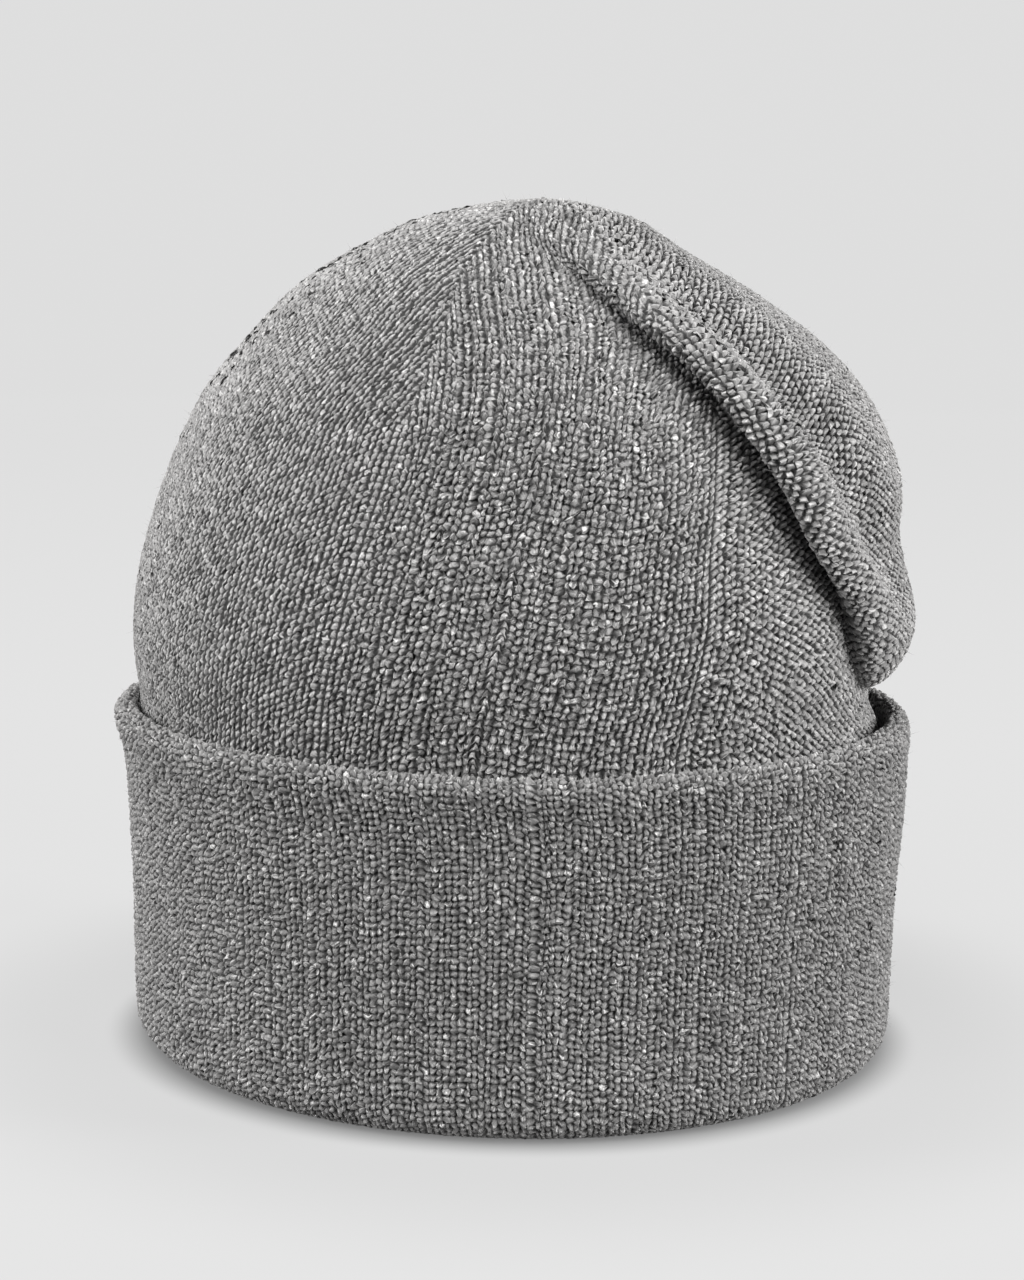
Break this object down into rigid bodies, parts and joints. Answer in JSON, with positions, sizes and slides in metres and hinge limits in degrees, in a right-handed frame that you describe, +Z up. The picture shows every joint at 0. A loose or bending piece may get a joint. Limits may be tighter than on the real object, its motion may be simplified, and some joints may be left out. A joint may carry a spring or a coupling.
{
  "type": "beanie",
  "caption": "Plain knitted beanie with a tall turned-up cuff and a soft crown that slouches into one diagonal fold at the right.",
  "frame": {"origin": "centre of the head opening, on the surface that the cuff rests on", "axes": "+Z up through the crown, the pictured front towards -Y, +X to the right as the front is seen"},
  "size_m": [0.1891, 0.19, 0.2007],
  "materials": {
    "crown_knit": "fine plain knit in mottled mid-grey wool-blend yarn, matt and slightly fuzzy",
    "cuff_knit": "the same knit turned up double, with a soft rounded edge"
  },
  "bodies": {
    "root": {"crown": "crown_knit", "cuff": "cuff_knit"}
  },
  "joints": []
}
